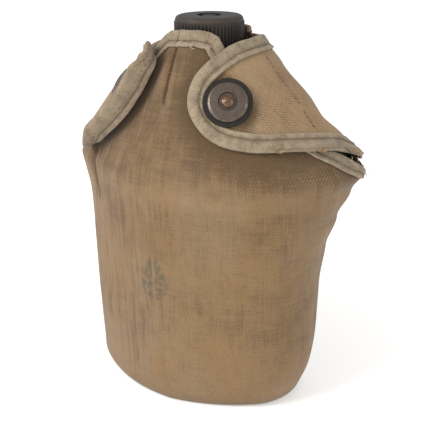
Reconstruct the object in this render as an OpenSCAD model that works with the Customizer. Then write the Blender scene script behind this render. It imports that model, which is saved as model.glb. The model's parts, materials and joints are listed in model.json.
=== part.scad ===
// Military style canteen: kidney section metal bottle, screw cap, felt lined canvas
// cover with two snap flaps and a wire belt hanger. Millimetres, +Z up, front faces -Y.
// The origin is on the resting plane, straight under the axis of the neck.

/* [Cover] */
// Width of the cover across the two ends
cover_w = 134; // [128:1:140]
// Depth in front of the neck axis
front_depth = 50; // [47:1:53]
// Depth behind the neck axis at the hollow of the back
back_depth = 17; // [15:1:18]
// Radius of the two ends in plan
end_r = 32; // [30:0.5:33]
// Radius of the front face in plan
front_r = 95; // [85:1:110]
// Height of the upright wall below the shoulder
wall_h = 118; // [112:1:120]
// Share by which the foot is smaller than the shoulder
taper = 0.075; // [0:0.005:0.09]

/* [Cap] */
// Diameter over the ribs of the cap
cap_d = 34.6; // [33:0.2:34.8]
// Height of the cap's side
cap_h = 22; // [20:0.5:23]
// Number of ribs round the cap
cap_ribs = 60; // [40:2:66]
// Rise of the cap for one turn
thread_pitch = 5; // [3:0.5:6]

/* [Cloth] */
// Thickness of the canvas
canvas_t = 1.2; // [0.8:0.1:1.4]
// Thickness of the felt lining
felt_t = 2.5; // [1.5:0.1:2.6]
// Width of the tape that binds the edges
tape_w = 8; // [6:0.5:10]
// Distance from the panel to the inside of a closed flap
flap_lift = 2.4; // [2.2:0.1:3]

/* [Bottle] */
// Wall of the bottle
bottle_t = 1; // [0.8:0.1:1.4]
// Outer radius of the neck
neck_r = 14; // [13:0.1:14.2]
// Inner radius of the neck
neck_bore_r = 12; // [11:0.1:12.5]

/* [Belt hanger] */
// Diameter of the hanger's wire
wire_d = 3.2; // [2.6:0.1:3.6]
// Distance between the middles of the two legs
leg_gap = 43; // [40:1:46]
// Length from the pivot bar to the top of the hooks
leg_len = 46; // [38:1:50]

/* [Hidden] */
$fn = 64;

gap = 0.3;
collar_z = 184.5;
collar_hw = 20.5;
collar_front = 23.5;
collar_back = 21;
plan_y = -10;
foot_in = 13;
foot_h = 20;
foot_in_front = 7;
foot_h_front = 9;
seam_t = 1.55;
total_h = 190;

end_x = cover_w/2 - end_r;
front_c = front_r - front_depth;
end_y = front_c - sqrt(pow(front_r - end_r, 2) - pow(end_x, 2));
hollow = back_depth - end_y;
back_r = (pow(end_r, 2) - pow(end_x, 2) - pow(hollow, 2))/(2*(hollow - end_r));
back_c = back_depth + back_r;
front_a = atan2(end_y - front_c, end_x);
back_a = atan2(back_c - end_y, -end_x);
collar_cy = (collar_back - collar_front)/2;
collar_ry = (collar_back + collar_front)/2;

function lerp(a, b, f) = a + (b - a)*f;
function wrap(t) = t > 3 ? t - 6 : t < -3 ? t + 6 : t;
function steps(a, b, n) = [for (i = [0:n]) lerp(a, b, i/n)];

// Plan outline of the cover moved in by d. t runs 0 front middle, 1 and 2 the joins of an
// end arc, 3 back middle, and is negative on the left.
function arc_pt(t, d) =
    t <= 1 ? let (a = lerp(-90, front_a, t))
        [(front_r - d)*cos(a), front_c + (front_r - d)*sin(a)]
    : t <= 2 ? let (a = lerp(front_a, back_a, t - 1))
        [end_x + (end_r - d)*cos(a), end_y + (end_r - d)*sin(a)]
    : let (a = lerp(back_a - 180, -90, t - 2))
        [(back_r + d)*cos(a), back_c + (back_r + d)*sin(a)];
function outline(t, d) = let (p = arc_pt(abs(t), d)) [t < 0 ? -p[0] : p[0], p[1]];

// How far the cloth stands out at the back of the shoulder and at the two ears.
function puff(t, z) =
    lookup(z, [[96, 0], [110, 4], [121, 7], [135, 10], [150, 9.5], [168, 4.5], [180, 1]])
        * exp(-pow((abs(t) - seam_t)/0.33, 2))
    + lookup(z, [[60, 0], [80, 2], [95, 6], [108, 8], [118, 12], [126, 11], [134, 5], [145, 0]])
        * exp(-pow((abs(t) - seam_t)/0.2, 2));

// Rounding of the foot: small in the middle of the front, larger at the ends.
function foot(t, z) = let (
    e = min(max((abs(t) - 0.2)/1.1, 0), 1)*min(max((3.2 - abs(t))/1.2, 0.3), 1),
    a = lerp(foot_in_front, foot_in, e),
    h = lerp(foot_h_front, foot_h, e)
) z >= h ? 0 : a*(1 - sqrt(1 - pow((h - z)/h, 2)));

// Point of a layer that lies d inside the cover's outer face.
function cover_pt(tt, z, d) = let (
    t = wrap(tt),
    dd = d - puff(t, z),
    k = 1 - taper*(1 - min(z, wall_h)/wall_h),
    p = outline(t, dd + foot(t, z)),
    q = outline(t, 0),
    u = min(max((z - wall_h)/(collar_z - wall_h), 0), 1),
    w = pow(u, lerp(1.25, 1, min(abs(t)/1.6, 1))),
    phi = atan2(q[1] - collar_cy, q[0]),
    kx = p[0]*k,
    ky = plan_y + (p[1] - plan_y)*k,
    cx = (collar_hw - dd)*cos(phi),
    cy = collar_cy + (collar_ry - dd)*sin(phi)
) [lerp(kx, cx, w), lerp(ky, cy, w), z];

// Upper edges of the front and the back panel.
function front_top(t) = lookup(abs(wrap(t)), [[0.75, 184.5], [0.95, 176], [1.2, 152], [1.54, 119]]);
function back_top(t) = lookup(abs(wrap(t)), [[1.56, 121], [1.575, 132], [1.6, 142], [1.63, 152],
    [1.68, 164], [1.72, 171], [1.78, 177], [1.82, 180], [2.2, 184]]);

// Fold of a flap on the shoulder, nearly straight in space.
function fold_t(z) = lookup(z, [[121, 1.55], [132, 1.57], [139, 1.59], [150, 1.62], [162, 1.67],
    [169, 1.71], [177, 1.77], [180, 1.8]]);

// Closed solid between two grids of points of the same size.
module shell(a, b) {
    rows = len(a);
    cols = len(a[0]);
    n = rows*cols;
    function at(i, j) = i*cols + j;
    pts = concat([for (r = a) for (p = r) p], [for (r = b) for (p = r) p]);
    skins = [for (i = [0:rows - 2]) for (j = [0:cols - 2]) for (f = [
        [at(i, j), at(i + 1, j), at(i + 1, j + 1)],
        [at(i, j), at(i + 1, j + 1), at(i, j + 1)],
        [n + at(i, j), n + at(i + 1, j + 1), n + at(i + 1, j)],
        [n + at(i, j), n + at(i, j + 1), n + at(i + 1, j + 1)]
    ]) f];
    ends = [for (i = [0:rows - 2]) for (f = [
        [at(i, 0), n + at(i, 0), n + at(i + 1, 0)],
        [at(i, 0), n + at(i + 1, 0), at(i + 1, 0)],
        [at(i, cols - 1), n + at(i + 1, cols - 1), n + at(i, cols - 1)],
        [at(i, cols - 1), at(i + 1, cols - 1), n + at(i + 1, cols - 1)]
    ]) f];
    rims = [for (j = [0:cols - 2]) for (f = [
        [at(0, j), n + at(0, j + 1), n + at(0, j)],
        [at(0, j), at(0, j + 1), n + at(0, j + 1)],
        [at(rows - 1, j), n + at(rows - 1, j), n + at(rows - 1, j + 1)],
        [at(rows - 1, j), n + at(rows - 1, j + 1), at(rows - 1, j + 1)]
    ]) f];
    polyhedron(pts, concat(skins, ends, rims), convexity = 8);
}

// Closed solid through rings of points, with a flat lid on the first and the last ring.
module loft(rings) {
    rows = len(rings);
    cols = len(rings[0]);
    pts = [for (r = rings) for (p = r) p];
    side = [for (i = [0:rows - 2]) for (j = [0:cols - 1]) let (k = (j + 1)%cols) for (f = [
        [i*cols + j, (i + 1)*cols + j, (i + 1)*cols + k],
        [i*cols + j, (i + 1)*cols + k, i*cols + k]
    ]) f];
    lids = [[for (j = [0:cols - 1]) j], [for (j = [cols - 1:-1:0]) (rows - 1)*cols + j]];
    polyhedron(pts, concat(side, lids), convexity = 8);
}

front_side_ts = steps(1, 1.54, 14);
front_ts = concat([for (i = [14:-1:0]) -front_side_ts[i]], steps(-0.8, 0.8, 8), front_side_ts);
back_side_ts = [1.56, 1.575, 1.6, 1.63, 1.68, 1.72, 1.78, 1.82, 1.9, 2];
back_ts = concat(back_side_ts, steps(2.25, 3.75, 6), [for (i = [9:-1:0]) 6 - back_side_ts[i]]);
panel_zs = [0.5, 2, 4.5, 8, 13, 20, 60, 80, 96, 108, 118];
felt_z0 = 5;

// Heights of the rows of a layer at one place round it: the fixed rows between the heights
// z0 and knee, then even steps from the knee to the top.
function rows_at(top, z0, knee) = concat(
    [z0],
    [for (z = panel_zs) if (z > z0 && z <= knee) z],
    steps(knee, max(knee + 0.4, top), 7)
);

// Part of the cover's wall between the depths d0 and d1. The places round the cover are in
// ts, and tops holds the upper edge at each of them.
module wall(ts, tops, d0, d1, z0, knee) {
    g = [for (top = tops) rows_at(top, z0, knee)];
    shell(
        [for (i = [0:len(g) - 1]) [for (z = g[i]) cover_pt(ts[i], z, d0)]],
        [for (i = [0:len(g) - 1]) [for (z = g[i]) cover_pt(ts[i], z, d1)]]
    );
}

module front_panel() {
    color("tan")
        wall(front_ts, [for (t = front_ts) front_top(t)], 0, canvas_t, panel_zs[0], wall_h);
}

module back_panel() {
    color("tan")
        wall(back_ts, [for (t = back_ts) back_top(t)], 0, canvas_t, panel_zs[0], wall_h);
}

felt_d0 = canvas_t + gap;
felt_d1 = felt_d0 + felt_t;
felt_share = 0.72;
felt_knee = 108;

// Upper edge of the felt, which ends below the tape on the canvas edge.
function felt_top(top) = min(lerp(wall_h, top, felt_share), top - tape_w - 1.5);

module front_felt() {
    color("olive")
        difference() {
            wall(front_ts, [for (t = front_ts) felt_top(front_top(t))], felt_d0, felt_d1, felt_z0,
                felt_knee);
            at_snap(right_snap_t, -8) cylinder(h = 12, r = 4.8, $fn = 24);
            mirror([1, 0, 0]) at_snap(left_snap_t, -8) cylinder(h = 12, r = 4.8, $fn = 24);
        }
}

module back_felt() {
    color("olive")
        wall(back_ts, [for (t = back_ts) felt_top(back_top(t))], felt_d0, felt_d1, felt_z0,
            felt_knee);
}

// Flat plate whose outline is the cover's section at height z, moved in by d.
module plate(z, d, thick) {
    translate([0, 0, z])
        linear_extrude(thick)
            polygon([for (t = steps(-3, 3, 60)) if (t < 2.99) let (p = cover_pt(t, z, d)) [p[0], p[1]]]);
}

module bottom_panel() {
    color("tan") plate(0, canvas_t + 1, canvas_t);
}

module bottom_felt() {
    color("olive") plate(canvas_t + gap, felt_d0 + 2.5, felt_t);
}

// Bottle: walls follow the cover, the shoulder closes in to the neck.
bottle_d = felt_d1 + 0.5;
bottle_z0 = canvas_t + felt_t + 2*gap + 0.2;
shoulder_z = 166;
shell_hole_r = neck_r + 0.4;

function bottle_pt(t, z, d, r) = let (
    k = 1 - taper*(1 - min(z, wall_h)/wall_h),
    p = outline(t, d + foot(t, z)),
    q = outline(t, 0),
    w = pow(min(max((z - wall_h + 6)/(shoulder_z - wall_h + 6), 0), 1), 1.25),
    phi = atan2(q[1], q[0])
) [lerp(p[0]*k, r*cos(phi), w), lerp(plan_y + (p[1] - plan_y)*k, r*sin(phi), w), z];

function bottle_ring(z, d, r) = [
    for (t = concat(steps(-3, -2, 4), steps(-1.9, -1, 9), steps(-0.75, 0.75, 6),
        steps(1, 1.9, 9), steps(2, 2.75, 3))) bottle_pt(t, z, d, r)
];

module bottle_shell() {
    outer_z = [bottle_z0, bottle_z0 + 1.5, 8, 13, 20, 70, 112, 120, 130, 142, 154, 162, shoulder_z];
    inner_z = [162, 154, 142, 130, 120, 112, 70, 20, 13, 8, bottle_z0 + 1.5 + bottle_t,
        bottle_z0 + bottle_t];
    hole = bottle_ring(shoulder_z, bottle_d, shell_hole_r);
    color("lightgray")
        loft(concat(
            [for (z = outer_z) bottle_ring(z, bottle_d, shell_hole_r + bottle_t)],
            [hole],
            [for (z = inner_z) bottle_ring(z, bottle_d + bottle_t, shell_hole_r)]
        ));
}

flange_z = shoulder_z + 0.1;
flange_t = 1.4;
flange_w = 2.6;
neck_top = total_h - 5.4;

module bottle_neck() {
    color("silver")
        difference() {
            union() {
                translate([0, 0, flange_z - 6]) cylinder(h = neck_top - flange_z + 6, r = neck_r);
                translate([0, 0, flange_z]) cylinder(h = flange_t, r = neck_r + flange_w);
            }
            translate([0, 0, flange_z - 7]) cylinder(h = 40, r = neck_bore_r);
        }
}

// Small eye beside the flange that the cap's keeper would be held by.
module chain_lug() {
    color("silver")
        translate([-neck_r - flange_w - 2.65, 0, flange_z + 0.7])
            rotate([90, 0, 0])
                difference() {
                    cylinder(h = 1.2, r = 2.6, center = true);
                    cylinder(h = 3, r = 1.5, center = true);
                }
}

cap_z = total_h - cap_h;
cap_r = cap_d/2;
rib_h = 0.45;
cap_round = 2.4;

module cap_shell() {
    pitch = 360/cap_ribs;
    color("dimgray")
        difference() {
            union() {
                rotate_extrude(angle = 360)
                    polygon(concat(
                        [[0, cap_z], [cap_r - rib_h, cap_z]],
                        [for (a = steps(0, 90, 6)) [cap_r - rib_h - cap_round*(1 - cos(a)),
                            total_h - cap_round*(1 - sin(a))]],
                        [[0, total_h]]
                    ));
                translate([0, 0, cap_z + 0.6])
                    linear_extrude(cap_h - cap_round - 1.2)
                        polygon([for (i = [0:cap_ribs - 1]) for (c = [[-0.34, 1], [-0.16, 0],
                            [0.16, 0], [0.34, 1]]) let (r = cap_r - rib_h*c[1], a = (i + c[0])*pitch)
                            [r*cos(a), r*sin(a)]]);
            }
            translate([0, 0, cap_z - 1]) cylinder(h = cap_h - 2.5, r = neck_r + 0.8);
            translate([0, 0, total_h - 1.2]) cylinder(h = 3, r = 6);
            translate([0, 0, cap_z]) cylinder(h = cap_h + 2, r = 1.7);
        }
}

gasket_z = neck_top + 0.2;
gasket_t = 1;

module cap_gasket() {
    color("black")
        translate([0, 0, gasket_z])
            difference() {
                cylinder(h = gasket_t, r = neck_r + 0.5);
                translate([0, 0, -1]) cylinder(h = gasket_t + 2, r = 2);
            }
}

washer_z = gasket_z + gasket_t + 0.05;

module cap_washer() {
    color("silver")
        translate([0, 0, washer_z])
            difference() {
                cylinder(h = 0.4, r = 9);
                translate([0, 0, -1]) cylinder(h = 3, r = 1.8);
            }
}

module cap_rivet() {
    color("silver") {
        translate([0, 0, gasket_z - 0.9]) cylinder(h = 0.8, r = 3);
        translate([0, 0, gasket_z - 0.5]) cylinder(h = total_h - 0.6 - gasket_z, r = 1.5);
        translate([0, 0, total_h - 1.15]) cylinder(h = 0.9, r = 3.2);
    }
}

// Tape folded over an upper edge: outer leg, fold, inner leg.
tape_t = 0.55;
tape_gap = 0.62;
tape_rise = 0.32;

module edge_tape(ts, tops) {
    function leg(t, top, o) = concat(
        [for (f = [1, 0.75, 0.5, 0.25]) cover_pt(t, top - f*tape_w, -tape_gap - o)],
        [
            cover_pt(t, top + tape_rise + 0.4*o, -tape_gap - o),
            cover_pt(t, top + tape_rise + 0.05 + o, canvas_t/2),
            cover_pt(t, top + tape_rise + 0.4*o, canvas_t + tape_gap + o)
        ],
        [for (f = [0.25, 0.5, 0.75, 1]) cover_pt(t, top - f*tape_w, canvas_t + tape_gap + o)]
    );
    shell(
        [for (i = [0:len(ts) - 1]) leg(ts[i], tops[i], tape_t)],
        [for (i = [0:len(ts) - 1]) leg(ts[i], tops[i], 0)]
    );
}

neck_front_ts = steps(-0.8, 0.8, 8);
neck_back_ts = steps(2, 4, 8);
shoulder_ts = concat([0.86], [for (i = [0:13]) front_side_ts[i]]);

module neck_binding_front() {
    color("wheat") edge_tape(neck_front_ts, [for (t = neck_front_ts) front_top(t)]);
}

module neck_binding_back() {
    color("wheat") edge_tape(neck_back_ts, [for (t = neck_back_ts) back_top(t)]);
}

module right_shoulder_binding() {
    color("wheat") edge_tape(shoulder_ts, [for (t = shoulder_ts) front_top(t)]);
}

module left_shoulder_binding() {
    mirror([1, 0, 0]) right_shoulder_binding();
}

// Flap edge as [t, z] from the top behind the neck, round the tip, to the ear.
flap_edge = [
    [1.12, 180], [0.92, 178.5], [0.72, 176], [0.54, 172], [0.4, 166], [0.35, 157], [0.43, 147],
    [0.55, 141], [0.7, 137], [0.88, 135], [1.06, 134], [1.24, 132], [1.38, 129], [1.5, 124]
];
flap_n = len(flap_edge) - 1;
fold_top_z = 180;
fold_low_z = 121;
flap_d = -flap_lift;

function fold_at(i) = let (z = lerp(fold_top_z, fold_low_z, i/flap_n)) [fold_t(z) - 0.015, z];
function flap_len(i) = let (v = flap_edge[i] - fold_at(i)) norm([v[0]*70, v[1]*1.1]);
// The flap stands a little further out where it passes over the tape at the ear.
function flap_pt(i, f, d) = let (
    q = lerp(fold_at(i), flap_edge[i], f),
    ear = 0.7*exp(-pow((q[0] - 1.42)/0.08, 2))
) cover_pt(q[0], q[1], d - ear);

flap_fs = steps(0, 1, 14);
function flap_inner(i) = 1 - min(tape_w/flap_len(i), 0.7);

// Places of the two snaps round the cover. The left flap's sits nearer its tip.
right_snap_t = 0.84;
left_snap_t = 0.68;
snap_z = 153.5;
function snap_p(t) = cover_pt(t, snap_z, 0);
function snap_n(t) = let (
    e = 0.02,
    a = cover_pt(t + e, snap_z, 0) - cover_pt(t - e, snap_z, 0),
    b = cover_pt(t, snap_z + 1, 0) - cover_pt(t, snap_z - 1, 0),
    c = cross(a, b)
) c/norm(c);

// Places its children on the axis of the snap at t, h outside the face of the panel.
module at_snap(t, h) {
    n = snap_n(t);
    translate(snap_p(t) + h*n)
        rotate([0, acos(n[2]), atan2(n[1], n[0])])
            children();
}

module flap(t) {
    color("tan")
        difference() {
            shell(
                [for (i = [0:flap_n]) [for (f = flap_fs) flap_pt(i, f*flap_inner(i), flap_d - canvas_t)]],
                [for (i = [0:flap_n]) [for (f = flap_fs) flap_pt(i, f*flap_inner(i), flap_d)]]
            );
            at_snap(t, -2) cylinder(h = 12, r = 2.6, $fn = 24);
        }
}

module right_flap() {
    flap(right_snap_t);
}

module left_flap() {
    mirror([1, 0, 0]) flap(left_snap_t);
}

module right_flap_binding() {
    lip = 0.35;
    function strip(i, o) = [
        for (f = [0.02, 0.26, 0.5, 0.75, 1]) flap_pt(i, lerp(flap_inner(i), 1, f), o)
    ];
    color("wheat")
        shell(
            [for (i = [0:flap_n]) strip(i, flap_d - canvas_t - lip)],
            [for (i = [0:flap_n]) strip(i, flap_d + lip)]
        );
}

module left_flap_binding() {
    mirror([1, 0, 0]) right_flap_binding();
}

flap_face = flap_lift + canvas_t + 0.35;
ring_r = 11.6;
disc_r = 9.4;

module snap_ring(t) {
    color("saddlebrown")
        at_snap(t, flap_face)
            difference() {
                cylinder(h = 1.1, r = ring_r);
                translate([0, 0, -1]) cylinder(h = 4, r = 3);
            }
}

module right_snap_ring() {
    snap_ring(right_snap_t);
}

module left_snap_ring() {
    mirror([1, 0, 0]) snap_ring(left_snap_t);
}

module snap_disc(t) {
    color("gray")
        at_snap(t, flap_face + 1.2)
            difference() {
                rotate_extrude(angle = 360)
                    polygon([[0, 0], [disc_r, 0], [disc_r, 0.7], [disc_r - 0.4, 1.2], [disc_r - 1.2, 1.45],
                        [4.4, 1.75], [3.9, 1.2], [0, 1.2]]);
                translate([0, 0, -1]) cylinder(h = 4, r = 2.5);
            }
}

module right_snap_disc() {
    snap_disc(right_snap_t);
}

module left_snap_disc() {
    mirror([1, 0, 0]) snap_disc(left_snap_t);
}

module snap_rivet(t) {
    color("darkgoldenrod")
        at_snap(t, 0) {
            translate([0, 0, flap_lift - 0.3]) cylinder(h = canvas_t + 3.4, r = 2.2);
            translate([0, 0, flap_lift + canvas_t + 2.85])
                rotate_extrude(angle = 360)
                    polygon([[0, 0], [3.1, 0], [3.1, 0.5], [2.7, 1.2], [1.9, 1.7], [1, 1.95], [0, 2]]);
        }
}

module right_snap_rivet() {
    snap_rivet(right_snap_t);
}

module left_snap_rivet() {
    mirror([1, 0, 0]) snap_rivet(left_snap_t);
}

socket_t = 0.9;

module snap_socket(t) {
    color("gray")
        at_snap(t, flap_lift - 0.75 - socket_t)
            difference() {
                cylinder(h = socket_t, r = 7);
                translate([0, 0, -1]) cylinder(h = 4, r = 4.4);
            }
}

module right_snap_socket() {
    snap_socket(right_snap_t);
}

module left_snap_socket() {
    mirror([1, 0, 0]) snap_socket(left_snap_t);
}

module snap_stud(t) {
    at_snap(t, 0) {
        translate([0, 0, 0.25]) cylinder(h = 0.5, r = 3.8);
        translate([0, 0, 0.5]) cylinder(h = 1.1, r = 1.9);
    }
}

module snap_studs() {
    color("gray") {
        snap_stud(right_snap_t);
        mirror([1, 0, 0]) snap_stud(left_snap_t);
    }
}

module stud_washer(t) {
    at_snap(t, -canvas_t - 1.1) cylinder(h = 0.6, r = 4);
}

module stud_washers() {
    color("gray") {
        stud_washer(right_snap_t);
        mirror([1, 0, 0]) stud_washer(left_snap_t);
    }
}

// Belt hanger: wire bar in a webbing loop on the back, legs hanging down at rest.
wire_r = wire_d/2;
bar_z = 116;
bar_y = 25.5;
loop_in = wire_r + 0.5;
loop_out = loop_in + 1.5;
loop_w = leg_gap - wire_d - 5;
tail_h = 18;
pad_y = bar_y - loop_out;

module hanger_pad() {
    ts = steps(2.2, 3.8, 10);
    zs = steps(bar_z - 34, bar_z + 3, 4);
    color("tan")
        shell(
            [for (t = ts) [for (z = zs) let (p = cover_pt(t, z, 0)) [p[0], pad_y - 0.1, z]]],
            [for (t = ts) [for (z = zs) cover_pt(t, z, -0.15)]]
        );
}

module hanger_loop() {
    color("tan")
        difference() {
            union() {
                translate([-loop_w/2, bar_y, bar_z])
                    rotate([0, 90, 0]) cylinder(h = loop_w, r = loop_out);
                translate([-loop_w/2, pad_y, bar_z - tail_h])
                    cube([loop_w, 1.5, tail_h]);
            }
            translate([-loop_w/2 - 1, bar_y, bar_z])
                rotate([0, 90, 0]) cylinder(h = loop_w + 2, r = loop_in);
        }
}

bend_r = 4;
hook_r = 6;
hook_drop = 14;

module wire_rod(len) {
    cylinder(h = len, r = wire_r, $fn = 32);
}

module wire_bend(r, a) {
    rotate_extrude(angle = a, $fn = 48) translate([r, 0]) circle(r = wire_r, $fn = 32);
}

// One leg with its bend at the bar and its hook, drawn hanging from the bar.
module hanger_leg() {
    x = leg_gap/2;
    translate([x - bend_r, bar_y, bar_z - bend_r]) rotate([90, 0, 0]) wire_bend(bend_r, 90);
    translate([x, bar_y, bar_z - leg_len + hook_r]) wire_rod(leg_len - hook_r - bend_r);
    translate([x, bar_y + hook_r, bar_z - leg_len + hook_r])
        rotate([0, 90, 0]) rotate([0, 0, -90]) wire_bend(hook_r, 180);
    translate([x, bar_y + 2*hook_r, bar_z - leg_len + hook_r]) wire_rod(hook_drop);
    translate([x, bar_y + 2*hook_r, bar_z - leg_len + hook_r + hook_drop]) sphere(r = wire_r, $fn = 32);
}

module hanger_wire() {
    half = leg_gap/2 - bend_r;
    color("gray") {
        translate([-half, bar_y, bar_z]) rotate([0, 90, 0]) wire_rod(2*half);
        hanger_leg();
        mirror([1, 0, 0]) hanger_leg();
    }
}

bottle_shell();
bottle_neck();
chain_lug();
cap_shell();
cap_gasket();
cap_washer();
cap_rivet();
front_panel();
back_panel();
bottom_panel();
front_felt();
back_felt();
bottom_felt();
neck_binding_front();
neck_binding_back();
left_shoulder_binding();
right_shoulder_binding();
left_flap();
right_flap();
left_flap_binding();
right_flap_binding();
left_snap_ring();
left_snap_disc();
left_snap_rivet();
left_snap_socket();
right_snap_ring();
right_snap_disc();
right_snap_rivet();
right_snap_socket();
snap_studs();
stud_washers();
hanger_pad();
hanger_loop();
hanger_wire();
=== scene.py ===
# %% [markdown]
# A field canteen: a metal bottle of kidney section in a padded canvas cover. The solids are
# already packed as a frame of named parts and bodies. This lesson puts cloth, tape, thread and
# worn metal round that frame. Everything is in metres, +Z is up and the front faces -Y.

# %% Load the frame
import json
import math

import bmesh
import bpy
import numpy as np
from mathutils import Matrix, Vector, noise


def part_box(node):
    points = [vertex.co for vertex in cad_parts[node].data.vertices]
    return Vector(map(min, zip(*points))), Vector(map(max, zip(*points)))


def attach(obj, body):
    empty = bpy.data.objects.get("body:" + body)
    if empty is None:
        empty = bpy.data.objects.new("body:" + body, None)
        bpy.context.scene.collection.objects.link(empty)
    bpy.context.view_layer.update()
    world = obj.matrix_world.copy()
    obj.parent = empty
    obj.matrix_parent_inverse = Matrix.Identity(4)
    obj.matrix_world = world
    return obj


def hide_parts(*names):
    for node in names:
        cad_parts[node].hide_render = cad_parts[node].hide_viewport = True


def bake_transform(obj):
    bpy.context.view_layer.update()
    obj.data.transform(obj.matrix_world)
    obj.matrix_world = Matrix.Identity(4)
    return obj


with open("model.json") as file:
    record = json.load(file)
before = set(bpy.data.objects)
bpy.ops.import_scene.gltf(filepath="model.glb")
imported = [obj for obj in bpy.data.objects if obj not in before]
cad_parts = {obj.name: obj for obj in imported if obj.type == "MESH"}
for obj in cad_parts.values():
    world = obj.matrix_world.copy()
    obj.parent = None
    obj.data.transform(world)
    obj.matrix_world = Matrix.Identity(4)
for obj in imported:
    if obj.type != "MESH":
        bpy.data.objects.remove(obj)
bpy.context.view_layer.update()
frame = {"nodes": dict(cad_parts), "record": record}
nodes = frame["nodes"]
MM = 0.001

# %% [markdown]
# The camera comes first, because it decides how much each detail matters. It stands to the right
# of the front and a little above, as one would look at the canteen on a table. A long lens keeps
# the sides nearly parallel. The numbers below are the angle round the object, the height angle,
# the distance to the aim point and a very small roll.

# %% Camera
AIM = Vector((0, 0, 88.3 * MM))
AZIMUTH = math.radians(37.0)
ELEVATION = math.radians(18.97)
ROLL = math.radians(-0.7)
DISTANCE = 486.1 * MM
LENS = 79.0

camera_data = bpy.data.cameras.new("camera")
camera_data.lens = LENS
camera_data.clip_start = 0.01
camera = bpy.data.objects.new("camera", camera_data)
bpy.context.scene.collection.objects.link(camera)
bpy.context.scene.camera = camera
away = Vector((
    math.sin(AZIMUTH) * math.cos(ELEVATION),
    -math.cos(AZIMUTH) * math.cos(ELEVATION),
    math.sin(ELEVATION),
))
camera.rotation_mode = "QUATERNION"
camera.location = AIM + away * DISTANCE
turn = Matrix.Rotation(ROLL, 3, away)
camera.rotation_quaternion = (turn @ (-away).to_track_quat("-Z", "Y").to_matrix()).to_quaternion()
print("camera at", [round(v / MM) for v in camera.location], "mm")

# %% [markdown]
# A light tent suits old cloth: a bright even world, one large soft lamp above and to the left,
# and a weaker one from the right. The floor is plain and nearly white, so it gives light back to
# the underside. The world is a plain colour, which keeps every other view of the object lit.

# %% Floor and light
def pale_floor():
    sheet = bmesh.new()
    bmesh.ops.create_grid(sheet, x_segments=1, y_segments=1, size=3.0)
    mesh = bpy.data.meshes.new("floor")
    sheet.to_mesh(mesh)
    sheet.free()
    floor = bpy.data.objects.new("floor", mesh)
    bpy.context.scene.collection.objects.link(floor)
    material = bpy.data.materials.new("floor_paper")
    material.use_nodes = True
    shader = material.node_tree.nodes["Principled BSDF"]
    shader.inputs["Base Color"].default_value = (0.93, 0.93, 0.93, 1)
    shader.inputs["Emission Color"].default_value = (1, 1, 1, 1)
    shader.inputs["Emission Strength"].default_value = 0.32
    shader.inputs["Roughness"].default_value = 0.9
    mesh.materials.append(material)


def soft_lamp(name, place, size, power):
    data = bpy.data.lights.new(name, "AREA")
    data.shape = "DISK"
    data.size = size
    data.energy = power
    lamp = bpy.data.objects.new(name, data)
    lamp.location = place
    lamp.rotation_euler = (AIM - Vector(place)).to_track_quat("-Z", "Y").to_euler()
    bpy.context.scene.collection.objects.link(lamp)


pale_floor()
soft_lamp("key_lamp", (-0.40, -1.05, 0.85), 0.6, 12)
soft_lamp("side_lamp", (1.1, -0.3, 0.55), 0.9, 3)
world = bpy.data.worlds.new("light_tent")
world.use_nodes = True
world.node_tree.nodes["Background"].inputs["Color"].default_value = (1, 1, 1, 1)
world.node_tree.nodes["Background"].inputs["Strength"].default_value = 0.74
bpy.context.scene.world = world
bpy.context.scene.view_settings.view_transform = "Standard"

# %% [markdown]
# Shader maths reads best as sums. A small class wraps a socket and overloads the operators, so
# "1 - mask" adds the Math node by itself. Any other node comes from one method that takes the
# node's type, its settings and its inputs.

# %% A small language for shaders
class Value:
    """A number socket that can stand in a Python sum."""

    def __init__(self, paint, socket):
        self.paint = paint
        self.socket = socket

    def __add__(self, other):
        return self.paint.math("ADD", self, other)

    def __sub__(self, other):
        return self.paint.math("SUBTRACT", self, other)

    def __rsub__(self, other):
        return self.paint.math("SUBTRACT", other, self)

    def __mul__(self, other):
        return self.paint.math("MULTIPLY", self, other)

    def __truediv__(self, other):
        return self.paint.math("DIVIDE", self, other)

    __radd__ = __add__
    __rmul__ = __mul__

    def clamp(self):
        return self.paint.math("ADD", self, 0, use_clamp=True)


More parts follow.
